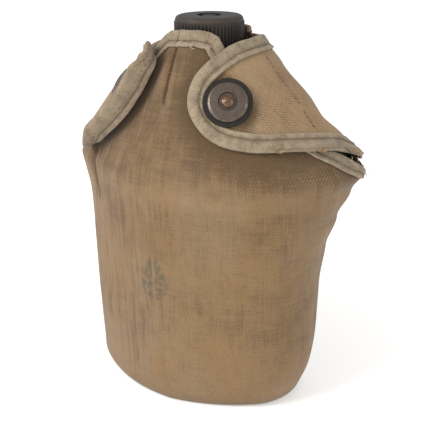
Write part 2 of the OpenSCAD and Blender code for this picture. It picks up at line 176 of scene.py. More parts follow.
class Paint:
    """A material whose nodes are added by calls."""

    def __init__(self, name):
        self.material = bpy.data.materials.new(name)
        self.material.use_nodes = True
        self.tree = self.material.node_tree
        self.shader = self.tree.nodes["Principled BSDF"]

    def set(self, socket, value):
        if isinstance(value, Value):
            self.tree.links.new(value.socket, socket)
        elif hasattr(socket.default_value, "__len__") and len(socket.default_value) == 4:
            socket.default_value = (*value, 1) if len(value) == 3 else value
        else:
            socket.default_value = value

    def node(self, kind, settings=None, inputs=None, output=0):
        made = self.tree.nodes.new(kind)
        for key, value in (settings or {}).items():
            setattr(made, key, value)
        for key, value in (inputs or {}).items():
            self.set(made.inputs[key], value)
        return Value(self, made.outputs[output])

    def math(self, operation, *values, use_clamp=False):
        settings = {"operation": operation, "use_clamp": use_clamp}
        return self.node("ShaderNodeMath", settings, dict(enumerate(values)))

    def place(self):
        """The point on the object, in millimetres."""
        spot = self.node("ShaderNodeTexCoord", output="Object")
        return self.vector("SCALE", spot, {3: 1 / MM})

    def cloth(self):
        """The point on the cloth, in millimetres along and across its threads."""
        return self.node("ShaderNodeUVMap", {"uv_map": "cloth"})

    def vector(self, operation, first, inputs):
        return self.node("ShaderNodeVectorMath", {"operation": operation}, {0: first, **inputs})

    def stretch(self, spot, sizes):
        """Divides a point by three sizes in millimetres, for long or short grains."""
        return self.vector("DIVIDE", spot, {1: sizes})

    def part(self, spot, axis):
        return self.node("ShaderNodeSeparateXYZ", None, {0: spot}, output=axis)

    def grain(self, spot, size=1.0, detail=2.0, roughness=0.5):
        inputs = {"Vector": spot, "Scale": 1 / size, "Detail": detail, "Roughness": roughness}
        return self.node("ShaderNodeTexNoise", None, inputs)

    def between(self, value, low, high):
        """0 below low, 1 above high, smooth in between."""
        inputs = {"Value": value, "From Min": low, "From Max": high}
        return self.node("ShaderNodeMapRange", {"interpolation_type": "SMOOTHSTEP"}, inputs)

    def attribute(self, name):
        return self.node("ShaderNodeAttribute", {"attribute_name": name}, output="Fac")

    def mix(self, factor, first, second, blend="MIX"):
        settings = {"data_type": "RGBA", "blend_type": blend}
        return self.node("ShaderNodeMix", settings, {0: factor, 6: first, 7: second}, output=2)

    def bump(self, height, distance, strength=1.0):
        inputs = {"Height": height, "Distance": distance * MM, "Strength": strength}
        return self.node("ShaderNodeBump", None, inputs)

    def finish(self, **sockets):
        for key, value in sockets.items():
            self.set(self.shader.inputs[key.replace("_", " ")], value)
        return self.material

# %% [markdown]
# Every cloth layer lies on one shape, so that shape is a formula and not a mesh. Seen from above
# the cover is a kidney: a wide front arc, two round ends and a hollow back. The walls lean in
# towards the foot, the foot is rounded, and above the wall the outline closes in to a collar
# round the neck. The formula takes a place t round the cover (0 front, 1 to 2 the round end,
# 3 back, negative on the left), a height z and a distance out from the surface.

# %% The shape of the cover
WIDTH = 134.0
FRONT_DEPTH = 50.0
BACK_DEPTH = 17.0
END_R = 32.0
FRONT_R = 95.0
WALL_H = 118.0
TAPER = 0.075
PLAN_Y = -10.0
COLLAR_Z = 184.5
SEAM_T = 1.55

END_X = WIDTH / 2 - END_R
FRONT_C = FRONT_R - FRONT_DEPTH
END_Y = FRONT_C - math.sqrt((FRONT_R - END_R) ** 2 - END_X ** 2)
HOLLOW = BACK_DEPTH - END_Y
BACK_R = (END_R ** 2 - END_X ** 2 - HOLLOW ** 2) / (2 * (HOLLOW - END_R))
BACK_C = BACK_DEPTH + BACK_R
FRONT_A = math.atan2(END_Y - FRONT_C, END_X)
BACK_A = math.atan2(BACK_C - END_Y, -END_X)
FRONT_LEN = FRONT_R * (FRONT_A + math.pi / 2)
END_LEN = END_R * (BACK_A - FRONT_A)


def along(t):
    """Millimetres round the cover from the front middle."""
    a = np.abs(t)
    run = np.minimum(a, 1) * FRONT_LEN + np.clip(a - 1, 0, 1) * END_LEN
    return np.sign(t) * (run + np.clip(a - 2, 0, 1) * BACK_R * (BACK_A - math.pi / 2))


def outline(t, inset):
    """Plan outline moved in by inset."""
    a = np.abs(t)
    first = -math.pi / 2 + (FRONT_A + math.pi / 2) * a
    second = FRONT_A + (BACK_A - FRONT_A) * (a - 1)
    third = (BACK_A - math.pi) + (math.pi / 2 - BACK_A) * (a - 2)
    x = np.select(
        [a <= 1, a <= 2],
        [(FRONT_R - inset) * np.cos(first), END_X + (END_R - inset) * np.cos(second)],
        (BACK_R + inset) * np.cos(third),
    )
    y = np.select(
        [a <= 1, a <= 2],
        [FRONT_C + (FRONT_R - inset) * np.sin(first), END_Y + (END_R - inset) * np.sin(second)],
        BACK_C + (BACK_R + inset) * np.sin(third),
    )
    return np.where(t < 0, -x, x), y


def steps(z, *pairs):
    """A value that goes smoothly through (height, value) pairs."""
    heights, values = zip(*pairs)
    i = np.clip(np.searchsorted(heights, z) - 1, 0, len(heights) - 2)
    heights, values = np.array(heights, float), np.array(values, float)
    f = np.clip((z - heights[i]) / (heights[i + 1] - heights[i]), 0, 1)
    return values[i] + (values[i + 1] - values[i]) * f * f * (3 - 2 * f)


T_MM = 60.0  # about one step of t, in millimetres, near the snaps


def bell(x, width):
    return np.exp(-(x / width) ** 2)


def puff(t, z):
    """How far the cloth stands out at the back of the shoulder and at the ears."""
    broad = steps(z, (96, 0), (110, 4), (121, 7), (135, 10), (150, 9.5), (168, 4.5), (180, 1))
    ear = steps(z, (60, 0), (80, 2), (95, 6), (108, 8), (118, 12), (126, 11), (134, 5), (145, 0))
    return broad * bell(np.abs(t) - SEAM_T, 0.33) + ear * bell(np.abs(t) - SEAM_T, 0.2)


def foot(t, z):
    """Rounding at the foot. The right end has sagged into a rounder corner than the left."""
    a = np.abs(t)
    early = np.where(t > 0, 0.12, 0.3)
    share = np.clip((a - early) / 1.1, 0, 1) * np.clip((2.9 - a) / 1.1, 0.15, 1)
    side_in = np.where(t > 0, 13.5, 7.0)
    side_h = np.where(t > 0, 36.0, 11.0)
    inset = 4.5 + (side_in - 4.5) * share
    height = 6 + (side_h - 6) * share
    f = np.clip((height - z) / height, 0, 1)
    return inset * (1 - np.sqrt(1 - f ** 2))


def cover_points(t, z, out, collar=(20.0, 22.0, 21.0)):
    """Points in millimetres. collar is the half width, front and back reach at the top."""
    t, z, out = np.broadcast_arrays(*(np.asarray(v, float) for v in (t, z, out)))
    t = np.where(t > 3, t - 6, np.where(t < -3, t + 6, t))
    inset = -out - puff(t, z)
    k = 1 - TAPER * (1 - np.minimum(z, WALL_H) / WALL_H)
    px, py = outline(t, inset + foot(t, z))
    qx, qy = outline(t, np.zeros_like(t))
    rise = np.clip((z - WALL_H) / (COLLAR_Z - WALL_H), 0, 1)
    w = rise ** (1.25 - 0.25 * np.minimum(np.abs(t) / 1.6, 1))
    half, front, back = collar
    mid, reach = (back - front) / 2, (back + front) / 2
    angle = np.arctan2(qy - mid, qx)
    cx = (half - inset) * np.cos(angle)
    cy = mid + (reach - inset) * np.sin(angle)
    x = px * k * (1 - w) + cx * w
    y = (PLAN_Y + (py - PLAN_Y) * k) * (1 - w) + cy * w
    return np.stack([x, y, z], -1)


front_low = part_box("front_panel")[0]
probe = cover_points(np.linspace(-1.54, 1.54, 99)[:, None], np.linspace(1, 118, 60)[None], 0.0)
probe_low = probe.reshape(-1, 3).min(0).round(1)
print("formula", probe_low, "solid", [round(v / MM, 1) for v in front_low])

# %% [markdown]
# Cloth needs relief that no formula gives: soft hollows, threads pulled into long creases, the
# ridge where the bottle's shoulder rubs. Smooth noise with stretched coordinates makes them. The
# functions return a height in millimetres, and two masks that the shader reads later: where the
# cloth is rubbed pale, and where it is darkened, mostly as painted shade in folds and creases.
#
# Painted shadow also lies beside the flaps, so the lines of their edges come first, each as
# corners of (t, z). The left line is the bend at which that flap's rim is turned up.

# %% Flap lines and relief of the cloth
SNAP_T, LEFT_SNAP_T, SNAP_Z = 0.84, 0.68, 153.5
RIGHT_EDGE = (
    (1.74, 180.5), (1.58, 181), (1.40, 181), (1.13, 180), (0.97, 178), (0.76, 175), (0.59, 172),
    (0.41, 166), (0.35, 157), (0.38, 151.5), (0.46, 146), (0.60, 140), (0.74, 137), (0.93, 135.5),
    (1.07, 135), (1.17, 135.3), (1.33, 134), (1.40, 133), (1.47, 130.5), (1.52, 126.5),
)
LEFT_BEND = (
    (-1.74, 174), (-1.4, 168), (-1.1, 165.5), (-0.8, 166), (-0.5, 170), (-0.36, 172),
    (-0.29, 169), (-0.31, 162), (-0.36, 155), (-0.43, 147), (-0.56, 140.5), (-0.74, 132.8),
    (-0.9, 129.5), (-1.02, 131.5), (-1.2, 137), (-1.38, 137), (-1.52, 134),
)


def noise_field(x, y, seed):
    """Smooth noise from -1 to 1 at every pair of numbers."""
    flat = zip(np.ravel(x), np.ravel(y))
    field = [noise.noise(Vector((float(a), float(b), seed))) for a, b in flat]
    return np.reshape(field, np.shape(x))


def near_line(s, z, corners):
    """Distance in millimetres from every place to a line of (t, z) corners."""
    ends = np.array([(along(t), high) for t, high in corners])
    best = np.full(np.shape(s), 99.0)
    for (s0, z0), (s1, z1) in zip(ends[:-1], ends[1:]):
        ds, dz = s1 - s0, z1 - z0
        f = np.clip(((s - s0) * ds + (z - z0) * dz) / (ds * ds + dz * dz), 0, 1)
        best = np.minimum(best, np.hypot(s - s0 - f * ds, z - z0 - f * dz))
    return best


def soft_hollows(s, z, seed):
    return 0.9 * noise_field(s / 38, z / 45, seed) + 0.35 * noise_field(s / 13, z / 19, seed + 4)


def pulled_threads(s, z, seed):
    """Long thin creases that wander slowly sideways."""
    wide = bell(noise_field(s / 6.5, z / 85, seed), 0.10)
    fine = bell(noise_field(s / 2.6, z / 55, seed + 7), 0.09)
    return wide, fine


RIDGE_Z = 110.0  # where the bottle's shoulder presses the cloth from inside


def front_relief(t, z):
    s = along(t)
    left = np.clip((0.35 - t) / 0.5, 0.12, 1) * np.clip((t + 1.5) / 0.4, 0, 1)
    upright = steps(z, (4, 0), (20, 1), (118, 1), (140, 0.35), (165, 0.2))
    wide, fine = pulled_threads(s, z, 11.0)
    crease = left * upright
    height = soft_hollows(s, z, 3.0) * steps(z, (2, 0), (14, 1), (190, 0.8))
    height -= crease * (0.16 * wide + 0.16 * fine)
    ridge = bell(z - RIDGE_Z - 4 * noise_field(s / 40, z * 0, 5.0), 5.5)
    height += 0.7 * ridge * np.clip(1.4 - np.abs(t), 0, 1)
    dart_reach = steps(z, (150, 0), (156, 1), (190, 1))
    height -= 1.5 * bell(s, 1.0) * dart_reach
    height += (1.9 * bell(s + 5.5, 3.6) * bell(z - 164, 13)
               + 1.0 * bell(s - 5, 3.2) * bell(z - 168, 12))
    height -= 1.1 * bell(s + 2.5, 3.0) * bell(z - 150, 4.0)
    height += 0.9 * bell(s + 8.5, 3.0) * bell(z - 149, 5.0)
    bulge = bell(t + 1.25, 0.3) * bell(z - 119, 11)
    fold = bell(s + 46 + (z - 112) * 0.25, 2.2) * steps(z, (95, 0), (108, 1), (124, 1), (134, 0))
    height += 3.2 * bulge - 1.5 * fold
    hang = bell(t - 1.2, 0.35) * bell(z - 96, 16)
    height += 1.4 * hang
    wear_and_light = 0.55 * ridge + 0.35 * left * bell(z - 12, 14)
    wear_and_light += 0.5 * np.clip((wide - 0.6) * -0.4, 0, 1)
    for stud_t in (SNAP_T, -LEFT_SNAP_T):
        flat = bell(np.hypot((t - stud_t) * T_MM, z - SNAP_Z), 8)
        height = height * (1 - flat) - 0.15 * flat
    # Painted shade in the creases of the pulled threads.
    dirt = crease * (0.10 * wide + 0.34 * fine)
    # Darker over the shoulder, from about 85 mm up.
    dirt = dirt + 0.36 * steps(z, (85, 0), (112, 0.7), (128, 1), (190, 1))
    # Painted shade in the fold below the left bulge and in the dart's groove.
    dirt = dirt + fold * 0.9 + bell(s, 1.1) * dart_reach
    # Painted shadow beside the right flap's edge and under the left flap's turned-up rim.
    dirt += 0.8 * bell(near_line(s, z, RIGHT_EDGE), 10) + 0.9 * bell(near_line(s, z, LEFT_BEND), 6)
    # Painted shade just under the tongue's tape.
    dirt += 0.45 * bell(z - 173.5, 4.5) * bell(t, 0.5)
    return height, wear_and_light, dirt


def back_relief(t, z):
    s = along(np.where(t > 3, t - 6, t))
    wide, fine = pulled_threads(s, z, 23.0)
    height = soft_hollows(s, z, 31.0) * steps(z, (2, 0), (14, 1), (190, 0.7))
    height -= 0.22 * wide + 0.12 * fine
    wear_and_light = 0.5 * bell(z - 106, 9) + 0.4 * bell(z - 10, 10)
    # The creases are darkened as painted shade.
    return height, wear_and_light, 0.4 * wide + 0.2 * fine

# %% [markdown]
# A panel is a fine grid whose points are moved onto the cover's shape. Its UV map holds the
# cloth's own millimetres, so the weave runs with the cloth and not with the room. Thickness comes
# from a Solidify modifier that grows inwards.

# %% Panels from a grid
def new_piece(name, mesh, material):
    piece = bpy.data.objects.new(name, mesh)
    bpy.context.scene.collection.objects.link(piece)
    mesh.materials.clear()
    mesh.materials.append(material)
    return piece


def cloth_object(name, across, up, place, thickness, material):
    """place takes two arrays from 0 to 1 and gives points, cloth millimetres and two masks."""
    grid = bmesh.new()
    bmesh.ops.create_grid(grid, x_segments=across, y_segments=up, size=0.5)
    spots = np.array([(v.co.x + 0.5, v.co.y + 0.5) for v in grid.verts])
    points, cloth, wear_and_light, dirt = place(spots[:, 0], spots[:, 1])
    for vertex, point in zip(grid.verts, points):
        vertex.co = Vector(point) * MM
    grid.verts.index_update()
    layer = grid.loops.layers.uv.new("cloth")
    for face in grid.faces:
        face.smooth = True
        for loop in face.loops:
            loop[layer].uv = cloth[loop.vert.index]
    mesh = bpy.data.meshes.new(name)
    grid.to_mesh(mesh)
    grid.free()
    for key, values in (("wear_and_light", wear_and_light), ("dirt", dirt)):
        attribute = mesh.attributes.new(key, "FLOAT", "POINT")
        attribute.data.foreach_set("value", np.clip(values, 0, 1).astype(np.float32))
    piece = new_piece(name, mesh, material)
    if thickness:
        wall = piece.modifiers.new("thickness", "SOLIDIFY")
        wall.thickness = thickness * MM
        wall.offset = -1
    return piece


def face_outwards(piece, inside):
    """Turns the faces round if they look towards the point inside."""
    mesh = piece.data
    middle = mesh.polygons[len(mesh.polygons) // 2]
    if (middle.center - Vector(inside) * MM).dot(middle.normal) < 0:
        mesh.flip_normals()

# %% [markdown]
# Cotton duck is a plain weave of plied yarn. Where a yarn passes over its neighbour it catches
# the light, and those high spots lie on a diagonal grid. The pattern is the product of two waves
# in the cloth's own millimetres, and uneven yarns come from noise drawn out along each thread.
# The same height feeds the bump and the colour: the high spots are painted light and the
# hollows darker, partly dirt held there and partly painted shade.

# %% Weave and canvas
THREAD = 0.74


def woven(paint, cloth, pitch):
    """Height of a plain weave from 0 to 1, and the unevenness of its yarns."""
    u = paint.part(cloth, 0)
    v = paint.part(cloth, 1)
    wave_u = paint.math("SINE", u * (math.pi / pitch))
    wave_v = paint.math("SINE", v * (math.pi / pitch))
    crossing = wave_u * wave_v * 0.5 + 0.5
    warp = paint.grain(paint.stretch(cloth, (0.75, 16, 1)), detail=1.5)
    weft = paint.grain(paint.stretch(cloth, (16, 0.75, 1)), detail=1.5)
    return crossing, warp + weft - 1


def canvas_cloth(name, deep, middle, light, stencil=False):
    paint = Paint(name)
    cloth = paint.cloth()
    spot = paint.place()
    crossing, uneven = woven(paint, cloth, THREAD)
    cloudy = paint.grain(paint.stretch(spot, (46, 46, 34)), detail=3, roughness=0.55)
    mottled = paint.grain(cloth, 6.5, 3, 0.6)
    flecks = paint.between(crossing, 0.70, 0.98)
    flecks = flecks * paint.between(paint.grain(cloth, 1.6, 2), 0.36, 0.62)
    drawn = paint.between(paint.grain(paint.stretch(cloth, (0.5, 34, 1)), detail=1.5), 0.60, 0.72)
    wear_and_light = paint.attribute("wear_and_light")
    dirt = paint.attribute("dirt")
    # The weave's crossings are painted light on the high spots and darker in the hollows.
    tone = crossing * 0.26 + uneven * 0.34 + (cloudy - 0.5) * 0.75 + (mottled - 0.5) * 0.35
    # Paler with wear and painted light, darker with painted shade and dirt.
    tone = tone + wear_and_light * 0.30 - dirt * 0.50 - drawn * 0.14 + 0.28
    dark_half = paint.mix(paint.between(tone, 0.0, 0.5), deep, middle)
    colour = paint.mix(paint.between(tone, 0.5, 1.15), dark_half, light)
    drift = paint.between(paint.grain(paint.stretch(spot, (30, 30, 60)), detail=2), 0.35, 0.7)
    colour = paint.mix(drift * 0.5 + 0.15, colour, (1.0, 0.84, 0.58), "MULTIPLY")
    colour = paint.mix(flecks * (1 - dirt * 0.5) * 0.62, colour, light)
    stained = paint.between(paint.grain(spot, 17, 4, 0.65), 0.60, 0.72)
    colour = paint.mix(stained * 0.18, colour, deep)
    if stencil:
        colour = paint.mix(drop_mask(paint, cloth, crossing), colour, (0.060, 0.064, 0.048))
    # Painted shade: the cloth darkens over its lowest 9 mm, next to the floor.
    low = paint.between(paint.part(spot, 2), 1.0, 9.0)
    colour = paint.mix((1 - low) * 0.35, colour, deep)
    height = crossing * 0.6 + uneven * 0.35
    soft = paint.grain(cloth, 3.2, 3, 0.55)
    bump = paint.bump(height + soft * 0.8, 0.16, 0.8)
    rough = 0.90 - wear_and_light * 0.10
    paint.shader.inputs["Sheen Weight"].default_value = 0.12
    paint.shader.inputs["Sheen Roughness"].default_value = 0.6
    paint.shader.inputs["Specular IOR Level"].default_value = 0.25
    return paint.finish(Base_Color=colour, Roughness=rough, Normal=bump)


def drop_mask(paint, cloth, crossing):
    """A faded stencil of a plain water drop on the front."""
    centre_u, foot_v, tall, wide = 0.5, 56.0, 25.0, 8.6
    u = paint.part(cloth, 0) - centre_u
    rise = (paint.part(cloth, 1) - foot_v) / tall
    inside = rise.clamp()
    lobe = inside * (1 - inside) * (1 - inside) * 6.75
    half = paint.math("SQRT", lobe) * wide
    side = paint.math("ABSOLUTE", u)
    shape = paint.between(half - side, -0.2, 0.5)
    bridge = paint.between(side, 0.5, 0.9)
    worn = paint.between(paint.grain(cloth, 2.6, 3, 0.7), 0.38, 0.60)
    return shape * bridge * worn * (crossing * 0.5 + 0.5) * 0.85


CANVAS = canvas_cloth(
    "canvas", (0.095, 0.058, 0.028), (0.205, 0.134, 0.070), (0.330, 0.235, 0.142), stencil=True
)
FLAP_CANVAS = canvas_cloth(
    "flap_canvas", (0.125, 0.080, 0.042), (0.285, 0.195, 0.112), (0.430, 0.315, 0.200)
)
print("canvas thread pitch", THREAD, "mm")

# %% [markdown]
# The edges are bound with cotton tape. Its ribs run across it, so on the cloth map they are waves
# along the tape, a little wavy themselves. Webbing is the same idea with heavier yarn. Felt has
# no threads at all: noise at several sizes is enough.

# %% Tape, webbing, felt and thread
def ribbed_tape(name, dark, pale, pitch=0.8):
    paint = Paint(name)
    cloth = paint.cloth()
    wander = paint.grain(cloth, 3.0, 2)
    u = paint.part(cloth, 0) + wander * 1.4
    v = paint.part(cloth, 1)
    ribs = paint.math("SINE", u * (2 * math.pi / pitch)) * 0.5 + 0.5
    yarn = paint.math("SINE", (v + u * 0.8) * (2 * math.pi / 0.75)) * 0.5 + 0.5
    patchy = paint.grain(cloth, 5.5, 4, 0.65)
    fine = paint.grain(paint.stretch(cloth, (0.6, 3.2, 1)), detail=2)
    tone = ribs * 0.14 + yarn * 0.30 + (patchy - 0.5) * 1.3 + (fine - 0.5) * 0.6 + 0.34
    # Paler with wear, darker with painted shade such as the stitch row's dip.
    tone = tone + paint.attribute("wear_and_light") * 0.3 - paint.attribute("dirt") * 0.55
    colour = paint.mix(paint.between(tone, 0.0, 1.0), dark, pale)
    height = ribs * 0.35 + yarn * 0.45 + fine * 0.6
    paint.shader.inputs["Sheen Weight"].default_value = 0.15
    paint.shader.inputs["Specular IOR Level"].default_value = 0.25
    bump = paint.bump(height, 0.17, 0.9)
    return paint.finish(Base_Color=colour, Roughness=0.92 - tone * 0.08, Normal=bump)


def felted(name, dark, pale):
    paint = Paint(name)
    spot = paint.place()
    fibres = paint.grain(spot, 0.9, 4, 0.7)
    clumps = paint.grain(spot, 6, 3)
    tone = fibres * 0.9 + clumps * 0.7 - 0.3
    colour = paint.mix(paint.between(tone, 0.2, 0.9), dark, pale)
    paint.shader.inputs["Sheen Weight"].default_value = 0.4
    return paint.finish(Base_Color=colour, Roughness=0.97 - tone * 0.05,
                        Normal=paint.bump(fibres, 0.5, 1.0))


def twisted_thread(name, dark, pale):
    paint = Paint(name)
    spot = paint.place()
    tone = paint.grain(spot, 0.55, 2) * 0.7 + paint.grain(spot, 9, 2) * 0.6 - 0.15
    colour = paint.mix(paint.between(tone, 0.2, 0.8), dark, pale)
    return paint.finish(Base_Color=colour, Roughness=0.95 - tone * 0.1,
                        Normal=paint.bump(tone, 0.12, 0.7))


PALE_TAPE = ribbed_tape("pale_tape", (0.130, 0.097, 0.060), (0.350, 0.275, 0.188))
DULL_TAPE = ribbed_tape("dull_tape", (0.130, 0.096, 0.060), (0.330, 0.255, 0.170))
WEBBING = ribbed_tape("webbing", (0.150, 0.105, 0.058), (0.340, 0.250, 0.150), pitch=1.7)
FELT = felted("felt", (0.085, 0.078, 0.052), (0.190, 0.175, 0.125))
THREAD_PALE = twisted_thread("pale_thread", (0.36, 0.29, 0.20), (0.66, 0.58, 0.46))
THREAD_TAN = twisted_thread("tan_thread", (0.08, 0.052, 0.028), (0.23, 0.165, 0.10))
THREAD_DARK = twisted_thread("dark_thread", (0.065, 0.045, 0.026), (0.15, 0.11, 0.07))

# %% [markdown]
# The cap is black moulded plastic. Handling has rubbed the crests of its ribs and the top edge
# to a dusty grey, so the wear reads the distance from the cap's axis and the height. The
# hardware is brass and steel with a dark finish that has gone on the high spots.

# %% Hard materials
def moulded_cap():
    paint = Paint("moulded_black")
    spot = paint.place()
    x, y, z = (paint.part(spot, axis) for axis in range(3))
    radius = paint.math("SQRT", x * x + y * y)
    crest = paint.between(radius, 16.85, 17.3)
    edge = paint.between(z, 184.5, 188.8) * paint.between(radius, 12.0, 15.8)
    patch = paint.grain(spot, 2.4, 4, 0.65)
    dust = paint.grain(spot, 7, 4, 0.6)
    wear = crest * 0.45 * dust + edge * 0.6 * patch + paint.between(dust, 0.5, 0.8) * 0.15
    colour = paint.mix(wear.clamp(), (0.012, 0.009, 0.007), (0.115, 0.088, 0.070))
    # Painted shade: the grooves between the ribs are darkened nearly to black.
    groove_shade = 1 - paint.between(radius, 16.75, 17.0)
    colour = paint.mix(groove_shade * (1 - edge) * 0.85, colour, (0.004, 0.003, 0.003))
    scratches = paint.grain(paint.stretch(spot, (0.8, 0.8, 6)), detail=3)
    rough = 0.50 + wear * 0.3
    paint.shader.inputs["Specular IOR Level"].default_value = 0.35
    return paint.finish(Base_Color=colour, Roughness=rough,
                        Normal=paint.bump(scratches + patch * 0.5, 0.06, 0.8))


def old_metal(name, dark, bright, rough, bare, grain=2.2):
    """A metal whose dark finish has worn to bright; bare is the share that shows."""
    paint = Paint(name)
    spot = paint.place()
    blotch = paint.grain(spot, grain, 5, 0.62)
    scuffs = paint.grain(paint.stretch(spot, (5.0, 0.5, 1.2)), detail=4, roughness=0.6)
    pits = paint.grain(spot, 0.55, 3, 0.6)
    shown = paint.between(blotch * 0.65 + scuffs * 0.35, 0.62 - bare * 0.35, 0.74 - bare * 0.35)
    colour = paint.mix(shown, dark, bright)
    colour = paint.mix(paint.between(pits, 0.55, 0.75) * 0.4, colour, dark)
    return paint.finish(
        Base_Color=colour,
        Metallic=0.55 + shown * 0.4,
        Roughness=rough - shown * 0.14 + pits * 0.12,
        Normal=paint.bump(pits * 0.6 + scuffs * 0.6 + blotch * 0.5, 0.05, 1.0),
    )


CAP_BLACK = moulded_cap()
ALUMINIUM = old_metal("bare_aluminium", (0.30, 0.29, 0.27), (0.62, 0.61, 0.59), 0.50, 0.8, 5.0)
DARK_STEEL = old_metal("dark_steel", (0.020, 0.016, 0.012), (0.070, 0.058, 0.045), 0.50, 0.25)
WORN_STEEL = old_metal("worn_steel", (0.085, 0.064, 0.048), (0.155, 0.125, 0.100), 0.40, 0.5, 2.6)
OLD_BRASS = old_metal("old_brass", (0.075, 0.044, 0.027), (0.200, 0.130, 0.085), 0.40, 0.5, 1.3)
PLAIN_STEEL = old_metal("plain_steel", (0.20, 0.18, 0.16), (0.45, 0.43, 0.40), 0.45, 0.6)


def seal_rubber():
    paint = Paint("seal_rubber")
    spot = paint.place()
    tone = paint.grain(spot, 2.5, 4, 0.6)
    colour = paint.mix(tone, (0.030, 0.028, 0.026), (0.075, 0.070, 0.065))
    return paint.finish(Base_Color=colour, Roughness=0.65 + tone * 0.2,
                        Normal=paint.bump(tone, 0.1, 0.6))


SEAL = seal_rubber()
FINISHES = {
    "bare_metal": ALUMINIUM,
    "black_moulding": CAP_BLACK,
    "seal": SEAL,
    "plain_steel": PLAIN_STEEL,
    "dark_steel": DARK_STEEL,
    "worn_steel": WORN_STEEL,
    "old_brass": OLD_BRASS,
}
slot_of = {row["node"]: row["material_slot"] for row in frame["record"]["subparts"]}
for node_name, node_object in nodes.items():
    finish = DARK_STEEL if node_name == "cap_rivet" else FINISHES.get(slot_of[node_name])
    if finish:
        for i in range(len(node_object.material_slots)):
            node_object.material_slots[i].material = finish
print("hard nodes", sum(slot_of[n] in FINISHES for n in nodes))

# %% [markdown]
# The front panel is one piece of duck from one side seam to the other. Its upper edge rises from
# the seams over the shoulder to a tongue round the neck. On the real cover that tongue stands
# highest in the middle of the front and droops towards its ends.

# %% Front and back of the cover
ROOT = "cover_and_bottle"
ROUGH = 1.0
SEAM_GAP = 0.004
FRONT_EDGE = (
    (-1.54, 118.5), (-1.2, 151.5), (-0.95, 168), (-0.75, 173), (-0.585, 176.5), (-0.5, 180),
    (-0.4, 182.3), (-0.275, 184), (0.0, 184.7), (0.4, 184.8), (0.67, 184.0), (0.85, 182),
    (1.0, 174), (1.2, 151.5), (1.54, 118.5),
)


def front_top(t):
    """The front panel's upper edge: a level tongue at the neck, steep sides down to the seams."""
    return np.interp(t, *zip(*FRONT_EDGE))


def back_top(t):
    a = np.abs(np.where(t > 3, t - 6, t))
    return np.interp(a, [1.55, 1.575, 1.6, 1.63, 1.68, 1.72, 1.78, 1.82, 2.2],
                     [120, 131, 141, 151, 163, 170, 176, 179, 183.5])


def side_seam(t):
    """A ridge where the two panels are sewn together at each end."""
    near = np.abs(np.abs(np.where(t > 3, t - 6, t)) - SEAM_T) * 32
    return 0.9 * np.exp(-(near / 1.6) ** 2) - 0.6 * np.exp(-((near - 3.6) / 1.4) ** 2)


def front_skin(t, z, out=0.0):
    height, wear_and_light, dirt = front_relief(t, z)
    return cover_points(t, z, out + height + side_seam(t)), wear_and_light, dirt


def back_skin(t, z, out=0.0):
    height, wear_and_light, dirt = back_relief(t, z)
    return cover_points(t, z, out + height + side_seam(t)), wear_and_light, dirt


def front_place(a, b):
    t = (a * 2 - 1) * (SEAM_T - SEAM_GAP)
    z = 0.6 + b * (front_top(t) - 0.6)
    points, wear_and_light, dirt = front_skin(t, z)
    cloth = np.stack([along(t) * (0.93 + 0.07 * np.minimum(z / WALL_H, 1)), z], -1)
    return points, cloth, wear_and_light, dirt


def back_place(a, b):
    t = SEAM_T + SEAM_GAP + a * (6 - 2 * (SEAM_T + SEAM_GAP))
    z = 0.6 + b * (back_top(t) - 0.6)
    points, wear_and_light, dirt = back_skin(t, z)
    run = along(np.where(t > 3, 6 - t, t)) * np.where(t > 3, -1, 1)
    return points, np.stack([run, z], -1), wear_and_light, dirt


front_cover = cloth_object(
    "front_cover", int(230 / ROUGH), int(158 / ROUGH), front_place, 1.2, CANVAS)
face_outwards(front_cover, (0, 0, 70))
back_cover = cloth_object(
    "back_cover", int(120 / ROUGH), int(110 / ROUGH), back_place, 1.2, CANVAS)
face_outwards(back_cover, (0, 0, 70))
for piece, node in ((front_cover, "front_panel"), (back_cover, "back_panel")):
    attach(piece, ROOT)
    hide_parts(node)
print("front cover faces", len(front_cover.data.polygons))

# %% [markdown]
# The bottom is a separate kidney of canvas sewn in just above the resting plane, which leaves a
# thin dark line under the foot. It sags a little between its seams. Felt lines every wall,
# stopping below the bound edges.

# %% Bottom and felt lining
def bottom_place(a, b):
    t = a * 6 - 3
    rim = cover_points(t, 1.2 + 0 * t, -0.8)
    middle = np.array([0, PLAN_Y, 0])
    points = middle + (rim - middle) * b[:, None]
    sag = noise_field(points[:, 0] / 22, points[:, 1] / 22, 41.0)
    points[:, 2] = 1.5 + 0.5 * sag * (1 - b ** 3)
    return points, points[:, :2].copy(), 0.3 + 0 * a, 0.25 + 0.4 * b ** 6


def close_seam(piece):
    """Joins the two ends of a grid that runs all the way round."""
    mesh = bmesh.new()
    mesh.from_mesh(piece.data)
    bmesh.ops.remove_doubles(mesh, verts=mesh.verts, dist=0.02 * MM)
    mesh.to_mesh(piece.data)
    mesh.free()


bottom_cover = cloth_object(
    "bottom_cover", int(140 / ROUGH), int(34 / ROUGH), bottom_place, 1.0, CANVAS)
close_seam(bottom_cover)
face_outwards(bottom_cover, (0, 0, 40))
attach(bottom_cover, ROOT)
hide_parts("bottom_panel")


def lining(name, node, t_low, t_high, top, columns):
    def place(a, b):
        t = t_low + a * (t_high - t_low)
        high = np.minimum(118 + (top(t) - 118) * 0.72, top(t) - 10)
        z = 5.5 + b * (high - 5.5)
        bumps = 0.25 * noise_field(along(t) / 9, z / 9, 51.0)
        return cover_points(t, z, -1.9 + bumps), np.stack([along(t), z], -1), 0 * a, 0 * a

    piece = cloth_object(name, int(columns / ROUGH), int(60 / ROUGH), place, 1.9, FELT)
    face_outwards(piece, (0, 0, 70))
    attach(piece, ROOT)
    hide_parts(node)
    return piece


front_lining = lining("front_lining", "front_felt", -1.54, 1.54, front_top, 90)
back_lining = lining("back_lining", "back_felt", 1.56, 4.44, back_top, 60)


